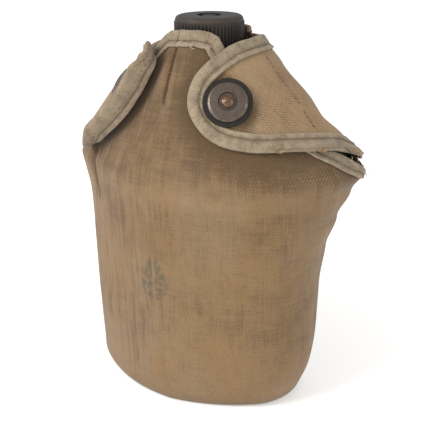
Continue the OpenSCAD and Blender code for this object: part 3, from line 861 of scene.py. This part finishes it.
def bottom_felt_place(a, b):
    rim = cover_points(a * 6 - 3, 1.2 + 0 * a, -4.5)
    middle = np.array([0, PLAN_Y, 0])
    points = middle + (rim - middle) * b[:, None]
    points[:, 2] = 3.9 + 0.2 * noise_field(points[:, 0] / 8, points[:, 1] / 8, 57.0)
    return points, points[:, :2].copy(), 0 * a, 0 * a


bottom_lining = cloth_object("bottom_lining", 70, 14, bottom_felt_place, 2.2, FELT)
close_seam(bottom_lining)
face_outwards(bottom_lining, (0, 0, -40))
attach(bottom_lining, ROOT)
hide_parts("bottom_felt")
print("linings", [p.name for p in (front_lining, back_lining, bottom_lining)])

# %% [markdown]
# Flaps and tapes follow lines drawn on the cover, so two tools come first. One finds the place
# on the cover that lies a few millimetres to the side of another, by stepping along the surface.
# The other smooths a line given by a few corners and spaces its points evenly.

# %% Lines on the cover
def layer_frames(t, z, out):
    """Points and normals of a layer whose distance from the cover is the function out."""
    dt, dz = 0.006, 0.35

    def at(p, q):
        return cover_points(p, q, out(p, q))

    normal = np.cross(at(t + dt, z) - at(t - dt, z), at(t, z + dz) - at(t, z - dz))
    return at(t, z), normal / np.linalg.norm(normal, axis=-1, keepdims=True)


def slide(t, z, out, move):
    """The place on a layer that is nearest to a point moved off by move, in millimetres."""
    goal = cover_points(t, z, out(t, z)) + move
    for _ in range(5):
        here = cover_points(t, z, out(t, z))
        a = (cover_points(t + 0.004, z, out(t, z)) - cover_points(t - 0.004, z, out(t, z))) / 0.008
        b = cover_points(t, z + 0.3, out(t, z)) - cover_points(t, z - 0.3, out(t, z))
        b = b / 0.6
        rest = goal - here
        aa, ab, bb = (a * a).sum(-1), (a * b).sum(-1), (b * b).sum(-1)
        ra, rb = (rest * a).sum(-1), (rest * b).sum(-1)
        det = aa * bb - ab * ab
        t = t + (ra * bb - rb * ab) / det
        z = z + (rb * aa - ra * ab) / det
    return t, z


def soft_line(corners, count, passes=3):
    """Evenly spaced places on a smoothed line through corners given as (t, z)."""
    line = np.array(corners, float)
    for _ in range(2):
        gap = np.hypot(np.diff(along(line[:, 0])), np.diff(line[:, 1]))
        run = np.concatenate([[0], np.cumsum(gap)])
        even = np.linspace(0, run[-1], count)
        line = np.stack([np.interp(even, run, line[:, k]) for k in (0, 1)], -1)
        for _ in range(passes * max(count // 60, 1)):
            line[1:-1] = (line[:-2] + 2 * line[1:-1] + line[2:]) / 4
    return line[:, 0], line[:, 1]


def run_of(points):
    """Distance along a row of points, in millimetres."""
    return np.concatenate([[0], np.cumsum(np.linalg.norm(np.diff(points, axis=0), axis=1))])


# %% [markdown]
# A binding is a strip of tape folded over a raw edge and sewn through. Its section is a thin
# closed C: a plump lower rim, a dip at the stitching, a round fold over the edge and an inner
# leg. The section is carried along the edge, always at right angles to it.

# %% Bound edges
TAPE_W = 8.0     # width of the tape
ROW_IN = 5.3     # its stitch row, from the edge
RIM = 12.4       # height of the left flap's turned-up rim
RIM_TAPE = 11.6  # width of the tape on that rim
FLAP_T = 1.3     # thickness of the flaps' duck
TAPE_SECTION = (
    (8.0, 0.10), (8.35, 0.75), (8.0, 1.30), (7.3, 1.35), (6.7, 1.00), (5.9, 0.95), (5.3, 0.62),
    (4.7, 0.92), (3.2, 1.05), (1.4, 1.02), (0.3, 0.85), (-0.35, 0.25), (-0.5, -0.6), (-0.2, -1.5),
    (0.6, -1.95), (3.0, -2.0), (5.6, -1.9), (6.2, -1.6), (5.6, -1.32), (1.4, -1.3), (0.35, -1.1),
    (0.2, -0.6), (0.4, -0.05), (1.6, 0.08), (5.0, 0.08), (8.0, 0.10),
)


def bound_edge(name, line, out, inward, material, seed, width=TAPE_W, strip=None):
    """Tape over an edge. line is (t, z) places, inward is +1 or -1 for the side of the cloth.

    With strip, the edge is a rim that is bent up, so the tape's good side lies on the face of
    the cloth that was underneath before.
    """
    t, z = line
    points, normals = layer_frames(t, z, out)
    run = run_of(points)
    tangent = np.gradient(points, axis=0)
    side = np.cross(normals, tangent) * inward
    side /= np.linalg.norm(side, axis=1, keepdims=True)
    section = np.array(TAPE_SECTION) * (width / TAPE_W, 1.0)
    girth = run_of(np.column_stack([section, np.zeros(len(section))]))
    skins = []
    for h, o in section:
        waver = 1 + 0.035 * noise_field(run / 9, run * 0 + h / 6, seed)
        swell = o + 0.14 * noise_field(run / 3.5, run * 0 + h / 4, seed + 2)
        if strip:
            skins.append(strip(RIM - h * waver, -FLAP_T - swell))
            continue
        place_t, place_z = slide(t, z, out, side * (h * waver)[:, None])
        skin, normal = layer_frames(place_t, place_z, out)
        skins.append(skin + normal * swell[:, None])
    skins = np.array(skins)
    rows, columns = len(section), len(t)

    def place(a, b):
        i = np.rint(a * (columns - 1)).astype(int)
        j = np.rint(b * (rows - 1)).astype(int)
        # The dip at the stitch row is darkened as painted shade; the plump rim is made paler.
        dip = bell(section[j, 0] - ROW_IN * width / TAPE_W, 0.55) * (section[j, 1] > 0)
        plump = bell(section[j, 0] - 7.8 * width / TAPE_W, 0.7)
        cloth = np.stack([run[i], girth[j]], -1)
        return skins[j, i], cloth, 0.5 * plump, dip

    piece = cloth_object(name, columns - 1, rows - 1, place, 0, material)
    mesh = bmesh.new()
    mesh.from_mesh(piece.data)
    bmesh.ops.remove_doubles(mesh, verts=mesh.verts, dist=0.01 * MM)
    rim = [e for e in mesh.edges if e.is_boundary]
    bmesh.ops.holes_fill(mesh, edges=rim, sides=0)
    bmesh.ops.recalc_face_normals(mesh, faces=mesh.faces)
    for face in mesh.faces:
        face.smooth = True
    mesh.to_mesh(piece.data)
    mesh.free()
    return piece


def front_out(t, z):
    return front_relief(t, z)[0]


def back_out(t, z):
    return back_relief(t, z)[0]


def on_body(piece, body, slot_name, *replaced):
    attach(piece, body)
    if replaced:
        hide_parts(*replaced)
    return piece


tongue_t = np.linspace(-0.80, 0.92, int(120 / ROUGH))
tongue_line = (tongue_t, front_top(tongue_t))
tongue_tape = on_body(
    bound_edge("tongue_tape", tongue_line, front_out, -1, PALE_TAPE, 61.0),
    ROOT, "tape", "neck_binding_front")
nape_t = np.linspace(2.0, 4.0, int(70 / ROUGH))
nape_tape = on_body(
    bound_edge("nape_tape", (nape_t, back_top(nape_t)), back_out, -1, PALE_TAPE, 63.0),
    ROOT, "tape", "neck_binding_back")
for word, sign, material in (("left", -1, DULL_TAPE), ("right", 1, PALE_TAPE)):
    edge_t = np.linspace(0.87, 1.54, int(64 / ROUGH)) * sign
    line = soft_line(np.stack([edge_t, front_top(edge_t)], -1), int(64 / ROUGH))
    on_body(
        bound_edge(f"{word}_shoulder_tape", line, front_out, -sign, material, 66.0 + sign),
        ROOT, "tape", f"{word}_shoulder_binding")
print("bound edges", 4, "tape faces", len(tongue_tape.data.polygons))

# %% [markdown]
# A flap is cut on from the back: it comes over the shoulder along a straight fold and hangs down
# the front. It stands off the panel because the bound edges lie underneath it. The rim of the
# left flap is turned up along its free edge, as stiff old duck does, while the right one lies
# down. Each is a grid between the fold and the edge line, and the last rows of the left one climb
# the turned-up rim.

# %% Flaps
def fold_at(z):
    return np.interp(z, [121, 132, 139, 150, 162, 169, 177, 180, 182],
                     [1.55, 1.57, 1.59, 1.62, 1.67, 1.71, 1.77, 1.80, 1.82]) - 0.015


def ease(x):
    x = np.clip(x, 0, 1)
    return x * x * (3 - 2 * x)


FLAP_FACE = 3.7
EDGE_COUNT = 160  # places along a flap's edge line


def behind_fold(t, z):
    return ease(((np.abs(t) - fold_at(z)) * T_MM + 4) / 10)


def right_out(t, z):
    waves = 0.55 * noise_field(t * 2.1, z / 26, 71.0) + 0.25 * noise_field(t * 6, z / 9, 73.0)
    near = bell(np.hypot((t - SNAP_T) * T_MM, z - SNAP_Z), 15)
    low = 0.9 * ease((147 - z) / 14) * bell(t - 1.3, 0.25)
    out = FLAP_FACE + waves * (1 - near) - 0.25 * near + low
    return out * (1 - behind_fold(t, z)) + 0.9 * behind_fold(t, z)


def left_out(t, z):
    waves = 0.6 * noise_field(t * 2.3, z / 24, 81.0) + 0.25 * noise_field(t * 6, z / 9, 83.0)
    near = bell(np.hypot((t + LEFT_SNAP_T) * T_MM, z - SNAP_Z), 15)
    out = FLAP_FACE + waves * (1 - near) - 0.25 * near
    out = out - 2.0 * ease((z - 150) / 14) * ease((np.abs(t) - 0.85) / 0.35)
    return out * (1 - behind_fold(t, z)) + 0.9 * behind_fold(t, z)


BEND_R = 1.2  # how round the bend of the rim is


def turned_strip(t, z, out, inward):
    """Where the rim of a flap lies when it is bent up along the line (t, z).

    Gives a function of the distance past the line and the distance off the strip's face, in
    millimetres. The strip stands upright in the middle of the line and lies flat at both ends.
    """
    points, normals = layer_frames(t, z, out)
    side = np.cross(normals, np.gradient(points, axis=0)) * inward
    side /= np.linalg.norm(side, axis=1, keepdims=True)
    share = run_of(points) / run_of(points)[-1]
    standing = ease((share - 0.295) / 0.09) * (1 - ease((share - 0.59) / 0.12))
    lean = 97 + 10 * bell(share - 0.41, 0.07)
    angle = standing * np.radians(lean) + 0.16 * noise_field(share * 9, share * 0, 87.0)
    rise, flat = np.sin(angle)[:, None], np.cos(angle)[:, None]

    def at(past, off):
        past = np.reshape(past * (0.5 + 0.5 * standing), (-1, 1))
        off = np.reshape(off, (-1, 1))
        late = BEND_R * (1 - np.exp(-np.maximum(past, 0) / BEND_R))
        spot = points + normals * rise * (past - late) - side * (flat * past + (1 - flat) * late)
        return spot + (side * rise + normals * flat) * off

    return at


FOLD_TOP, FOLD_FOOT = 180.5, 124.0
BEHIND = 0.12  # share of a flap's grid that lies behind its fold
CUT_LEAN = 0.62  # the flaps' threads lean this many radians, as they are cut with the back


def flap_cloth(name, sign, corners, out, columns, rows):
    edge_t, edge_z = soft_line(corners, EDGE_COUNT)
    edge_share = np.linspace(0, 1, EDGE_COUNT)
    strip = turned_strip(edge_t, edge_z, out, sign) if sign < 0 else None
    reach = 0.86 if strip else 1.0

    def place(a, b):
        z_fold = FOLD_TOP - a * (FOLD_TOP - FOLD_FOOT)
        t_fold = fold_at(z_fold) * sign
        t_edge = np.interp(a, edge_share, edge_t)
        z_edge = np.interp(a, edge_share, edge_z)
        share = (b - BEHIND) / (reach - BEHIND)
        back = np.clip(BEHIND - b, 0, 1) / BEHIND
        share = np.clip(share, 0, 1)
        t = t_fold + (t_edge - t_fold) * share + back * 0.15 * sign
        z = z_fold + (z_edge - z_fold) * share
        s, lean = along(t), CUT_LEAN
        cloth = np.stack([s * math.cos(lean) + z * math.sin(lean) * sign,
                          z * math.cos(lean) - s * math.sin(lean) * sign], -1)
        # Paler along the fold, where it is rubbed, and paler towards the top as painted light from
        # above; a dark ring lies round the snap.
        wear_and_light = 0.9 * bell(np.abs(t) - fold_at(z), 0.09) + 0.25 * ease((z - 165) / 12)
        ring = np.hypot((np.abs(t) - (SNAP_T if sign > 0 else LEFT_SNAP_T)) * T_MM, z - SNAP_Z)
        dirt = 0.75 * bell(ring - 12.5, 2.2)
        points = cover_points(t, z, out(t, z))
        past = (b - reach) / (1 - reach + 1e-9) * (RIM - 0.9)
        for k in np.flatnonzero(b > reach + 1e-6):
            row = strip(past[k], 0.0)
            points[k] = [np.interp(a[k], edge_share, row[:, axis]) for axis in range(3)]
            cloth[k] += past[k]
        return points, cloth, wear_and_light, dirt

    piece = cloth_object(name, int(columns / ROUGH), int(rows / ROUGH), place, FLAP_T, FLAP_CANVAS)
    face_outwards(piece, (0, 0, 150))
    return piece, (edge_t, edge_z)


HINGE_LOW, HINGE_HIGH = (75.8, 24.65, 121), (21.75, 13.54, 180)


def across_fold(piece, sign):
    """Bakes the piece's placement into its mesh; the hinge of the fold is worked out but not used.
    """
    low, high = (Vector((sign * x, y, z)) * MM for x, y, z in (HINGE_LOW, HINGE_HIGH))
    middle = (low + high) / 2
    tip = Vector(cover_points(sign * 1.1, 152.0, 3.0)) * MM
    line = (high - low).normalized()
    inward = (tip - middle) - line * (tip - middle).dot(line)
    inward.normalize()
    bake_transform(piece)


flaps = {}
flap_tapes = {}
for word, sign, corners, out, tape in (
    ("left", -1, LEFT_BEND, left_out, DULL_TAPE),
    ("right", 1, RIGHT_EDGE, right_out, PALE_TAPE),
):
    piece, edge = flap_cloth(f"{word}_flap_cloth", sign, corners, out, 110, 76)
    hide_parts(f"{word}_flap")
    flaps[word] = piece
    line = soft_line(np.stack(edge, -1), int(190 / ROUGH), 1)
    strip = turned_strip(*line, out, sign) if sign < 0 else None
    band = bound_edge(f"{word}_flap_tape", line, out, sign, tape, 90.0 + sign,
                      width=RIM_TAPE if strip else TAPE_W, strip=strip)
    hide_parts(f"{word}_flap_binding")
    flap_tapes[word] = band
print("flap faces", {k: len(v.data.polygons) for k, v in flaps.items()})

# %% [markdown]
# Stitches are what tells the eye that cloth is sewn. Each one is a tiny long bead half sunk in
# the cloth, turned along its row. There are hundreds, so a bead has twenty faces, and the beads
# of one seam are one mesh.

# %% Stitch rows
def stitches(name, rows, out, material, lift=0.15, step=3.1, length=2.1, width=0.5, skip=0.0):
    """Beads along rows of (t, z) places, or of ready points and normals where out is None.

    skip is the share of broken stitches.
    """
    rng = np.random.default_rng(len(name) * 7 + 1)
    beads = bmesh.new()
    for row in rows:
        points, normals = layer_frames(*row, out) if out else row
        run = run_of(points)
        for mark in np.arange(step / 2, run[-1], step):
            if rng.random() < skip:
                continue
            centre = Vector([np.interp(mark, run, points[:, k]) for k in range(3)])
            ahead = Vector([np.interp(mark + 0.8, run, points[:, k]) for k in range(3)])
            up = Vector([np.interp(mark, run, normals[:, k]) for k in range(3)]).normalized()
            way = (ahead - centre).normalized()
            if way.length < 0.5:
                continue
            side = up.cross(way).normalized()
            way = (way + side * rng.normal(0, 0.08)).normalized()
            side = up.cross(way).normalized()
            size = (length * rng.uniform(0.85, 1.1) / 2, width / 2, width / 2)
            axes = [axis * s for axis, s in zip((way, side, up), size)]
            spot = centre + up * lift
            rows_of_turn = [(*(axis[r] * MM for axis in axes), spot[r] * MM) for r in range(3)]
            turn = Matrix((*rows_of_turn, (0, 0, 0, 1)))
            bmesh.ops.create_icosphere(beads, subdivisions=1, radius=1, matrix=turn)
    for face in beads.faces:
        face.smooth = True
    bmesh.ops.recalc_face_normals(beads, faces=beads.faces)
    mesh = bpy.data.meshes.new(name)
    beads.to_mesh(mesh)
    beads.free()
    return new_piece(name, mesh, material)


def beside(line, out, inward, distance):
    """A line at one distance from an edge line."""
    t, z = line
    points, normals = layer_frames(t, z, out)
    side = np.cross(normals, np.gradient(points, axis=0)) * inward
    side /= np.linalg.norm(side, axis=1, keepdims=True)
    return slide(t, z, out, side * distance)


def upright(t, low, high, count=60):
    return np.full(count, t), np.linspace(low, high, count)


tongue_stitches = on_body(
    stitches("tongue_stitches", [beside(tongue_line, front_out, -1, ROW_IN)], front_out,
             THREAD_DARK, lift=0.72, step=2.7, length=2.0, width=0.62), ROOT, "tape")
nape_stitches = on_body(
    stitches("nape_stitches", [beside((nape_t, back_top(nape_t)), back_out, -1, ROW_IN)], back_out,
             THREAD_PALE, lift=0.72), ROOT, "tape")
dart_stitches = on_body(
    stitches("dart_stitches", [upright(0.012, 152, 178)], front_out, THREAD_DARK,
             lift=0.3, step=2.4, length=1.9, width=0.7), ROOT, "canvas")
side_stitches = on_body(
    stitches("side_stitches", [upright(s * 1.51, 8, 108) for s in (-1, 1)], front_out, THREAD_PALE,
             lift=0.1), ROOT, "canvas")
flap_stitches = {}
for word, sign, out in (("left", -1, left_out), ("right", 1, right_out)):
    edge = soft_line(LEFT_BEND if sign < 0 else RIGHT_EDGE, 190, 1)
    if sign < 0:
        strip = turned_strip(*edge, out, sign)
        low_side, high_side = strip(RIM - ROW_IN, -FLAP_T), strip(RIM - ROW_IN, -FLAP_T - 1)
        row, row_out = (low_side, high_side - low_side), None
    else:
        row, row_out = beside(edge, out, sign, ROW_IN), out
    band_row = stitches(f"{word}_tape_stitches", [row], row_out, THREAD_TAN,
                        lift=0.66, step=3.0, length=2.0, width=0.5, skip=0.06)
    fold_rows = [upright(sign * 1.375, 142, 173)]
    fold_row = stitches(f"{word}_fold_stitches", fold_rows, out, THREAD_TAN, lift=0.2, skip=0.05,
                        step=2.6, width=0.75)
    back_z = np.linspace(128, 176, 60)
    back_row = stitches(f"{word}_seam_stitches", [((fold_at(back_z) + 0.09) * sign, back_z)], out,
                        THREAD_PALE, lift=0.12)
    flap_stitches[word] = [band_row, fold_row, back_row]
for word, sign in (("left", -1), ("right", 1)):
    for piece in (flaps[word], flap_tapes[word], *flap_stitches[word]):
        across_fold(piece, sign)
print("stitch beads", len(tongue_stitches.data.polygons) // 20, "on the tongue")

# %% [markdown]
# Old cloth sheds. Where the front's edge runs out at the ear the tape is torn, and short ends of
# yarn stand out there. A few more hang at the dart and the tongue. Each is a thin round curve
# that wanders from a seeded generator and is then turned into mesh.

# %% Loose yarn
def loose_yarn(name, starts, out, material, seed, count, reach, radius=0.16):
    rng = np.random.default_rng(seed)
    curve = bpy.data.curves.new(name, "CURVE")
    curve.dimensions = "3D"
    curve.bevel_depth = radius * MM
    curve.bevel_resolution = 1
    for _ in range(count):
        t, z = starts[rng.integers(len(starts))]
        t = np.array([t + rng.normal(0, 0.012)])
        z = np.array([z + rng.normal(0, 1.0)])
        points, normals = layer_frames(t, z, out)
        spot = Vector(points[0]) + Vector(normals[0]) * 0.6
        way = Vector(normals[0]) * rng.uniform(0.1, 0.7) + Vector(rng.normal(0, 0.8, 3))
        way.normalize()
        spline = curve.splines.new("POLY")
        steps_made = 9
        spline.points.add(steps_made - 1)
        stride = reach * rng.uniform(0.5, 1.2) / steps_made
        for k in range(steps_made):
            spline.points[k].co = (*(spot * MM), 1)
            spline.points[k].radius = 1.0 - 0.06 * k
            way = (way + Vector(rng.normal(0, 0.28, 3)) + Vector((0, 0, -0.08))).normalized()
            spot = spot + way * stride
    holder = bpy.data.objects.new(name + "_curve", curve)
    bpy.context.scene.collection.objects.link(holder)
    bpy.context.view_layer.update()
    graph = bpy.context.evaluated_depsgraph_get()
    mesh = bpy.data.meshes.new_from_object(holder.evaluated_get(graph))
    bpy.data.objects.remove(holder)
    for face in mesh.polygons:
        face.use_smooth = True
    mesh.name = name
    return new_piece(name, mesh, material)


ear_yarn = on_body(
    loose_yarn("ear_yarn", [(1.50, 122), (1.53, 119), (1.55, 117), (1.46, 125)], front_out,
               THREAD_PALE, 5, 22, 5.5), ROOT, "tape")
dart_yarn = on_body(
    loose_yarn("dart_yarn", [(0.0, 176), (0.02, 168), (0.0, 158), (0.02, 153)], front_out,
               THREAD_TAN, 9, 5, 2.6, 0.2), ROOT, "tape")
tongue_yarn = on_body(
    loose_yarn("tongue_yarn", [(0.16, 178)], front_out, THREAD_PALE, 21, 1, 9.0, 0.22),
    ROOT, "tape")
print("loose ends", 22 + 5 + 1)

# %% [markdown]
# The belt hanger turns in a webbing loop on a padded patch at the back. The patch is a shallow
# cushion that fills the hollow of the back. The loop is a single strap: up from the patch, round
# the bar and down again, with its two layers sewn together below the bar.

# %% Hanger patch and loop
BAR_Y, BAR_Z = 25.5, 116.0
PATCH_Y = 21.8


def patch_place(a, b):
    t = 2.2 + a * 1.6
    z = 82 + b * 37
    base = cover_points(t, z, 0.3)
    rim = np.minimum(np.minimum(a, 1 - a) / 0.1, np.minimum(b, 1 - b) / 0.12)
    quilt = 0.35 * noise_field(a * 6, b * 5, 101.0) - 0.5 * bell((b - 0.5) * 37, 1.5) * ease(rim)
    y = base[:, 1] + (np.maximum(PATCH_Y - base[:, 1], 0.8) + quilt) * ease(rim) ** 0.6
    points = np.stack([base[:, 0], y, z], -1)
    # The patch's very edge is darkened as painted shade where it meets the back; just inside it,
    # the cloth is paler.
    return points, np.stack([base[:, 0], z], -1), 0.6 * bell(rim - 0.8, 0.4), 0.5 * bell(rim, 0.3)


hanger_patch = cloth_object(
    "hanger_patch", int(70 / ROUGH), int(48 / ROUGH), patch_place, 1.0, WEBBING)
face_outwards(hanger_patch, (0, 0, 100))
on_body(hanger_patch, ROOT, "webbing", "hanger_pad")


def loop_path():
    """The strap's middle line in the YZ plane, from its inner tail over the bar to its outer."""
    up = [(22.45, BAR_Z - 17.5 + k * 2.0) for k in range(8)]
    turn = [(BAR_Y - 2.95 * math.cos(a), BAR_Z + 2.95 * math.sin(a))
            for a in np.radians(np.linspace(-15, 235, 26))]
    down = [(24.0, BAR_Z - 6.5), (23.75, BAR_Z - 9)]
    down += [(23.7, BAR_Z - 11 - k * 1.5) for k in range(5)]
    return np.array(up + turn + down)


strap_line = loop_path()
strap_run = np.concatenate([[0], np.cumsum(np.hypot(*np.diff(strap_line, axis=0).T))])


def loop_place(a, b):
    run = b * strap_run[-1]
    x = (a - 0.5) * 34.0 + 0.15 * noise_field(run / 5, a * 0, 111.0)
    y = np.interp(run, strap_run, strap_line[:, 0])
    z = np.interp(run, strap_run, strap_line[:, 1])
    return np.stack([x, y, z], -1), np.stack([x, run], -1), bell(z - BAR_Z - 2.5, 2.5), 0 * a


hanger_strap = cloth_object(
    "hanger_strap", int(60 / ROUGH), int(90 / ROUGH), loop_place, 1.1, WEBBING)
hanger_strap.modifiers["thickness"].offset = 0
on_body(hanger_strap, ROOT, "webbing", "hanger_loop")
strap_rows = bmesh.new()
for height in (BAR_Z - 8.5, BAR_Z - 15.5):
    for k in range(11):
        spot = Vector(((k - 5) * 2.9, 24.4, height)) * MM
        bead = Matrix.Translation(spot) @ Matrix.Diagonal((1.0 * MM, 0.3 * MM, 0.3 * MM, 1))
        bmesh.ops.create_icosphere(strap_rows, subdivisions=1, radius=1, matrix=bead)
strap_mesh = bpy.data.meshes.new("strap_stitches")
strap_rows.to_mesh(strap_mesh)
strap_rows.free()
strap_stitches = on_body(new_piece("strap_stitches", strap_mesh, THREAD_PALE), ROOT, "webbing")
print("strap length", round(float(strap_run[-1]), 1), "mm")

# %% [markdown]
# The neck's screw thread is seen only when the cap is off. It is a small ridge that climbs round
# the neck. One operator makes it: a face with the ridge's section is spun round the neck's axis
# and lifted a little at every step. It leaves its faces in no fixed order, so they are sorted
# along the thread, and every run gives the same mesh.

# %% Neck thread
neck_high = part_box("bottle_neck")[1]
NECK_R, PITCH, TURNS = 13.95, 5.0, 2.6
ridge = bmesh.new()
start_z = neck_high.z / MM - 2.6 - PITCH * TURNS
profile = [ridge.verts.new(Vector((NECK_R + x, 0, start_z + z)) * MM)
           for x, z in ((-0.3, -0.9), (0.5, -0.25), (0.5, 0.25), (-0.3, 0.9))]
face = ridge.faces.new(profile)
bmesh.ops.spin(
    ridge, geom=[face], cent=(0, 0, 0), axis=(0, 0, 1), dvec=(0, 0, PITCH / 48 * MM),
    angle=TURNS * 2 * math.pi, steps=int(TURNS * 48), use_merge=False, use_duplicate=False)
bmesh.ops.recalc_face_normals(ridge, faces=ridge.faces)
ridge.verts.index_update()
ridge.faces.sort(
    key=lambda f: sum(v.index for v in f.verts) + 1e-4 * min(v.index for v in f.verts))
for f in ridge.faces:
    f.smooth = True
thread_mesh = bpy.data.meshes.new("neck_thread")
ridge.to_mesh(thread_mesh)
ridge.free()
on_body(new_piece("neck_thread", thread_mesh, ALUMINIUM), ROOT, "bare_metal")
print("thread from", round(start_z, 1), "to", round(start_z + PITCH * TURNS, 1), "mm")

# %% [markdown]
# Last, the area of each cloth piece is printed. Duck hardly stretches, so the area of a flat
# pattern is close to that of the finished piece.

def cloth_area(piece):
    return sum(face.area for face in piece.data.polygons)


for piece in (front_cover, back_cover, bottom_cover, front_lining, back_lining, bottom_lining,
              hanger_strap, *flaps.values()):
    print(piece.name, "area", round(cloth_area(piece), 4), "m2")
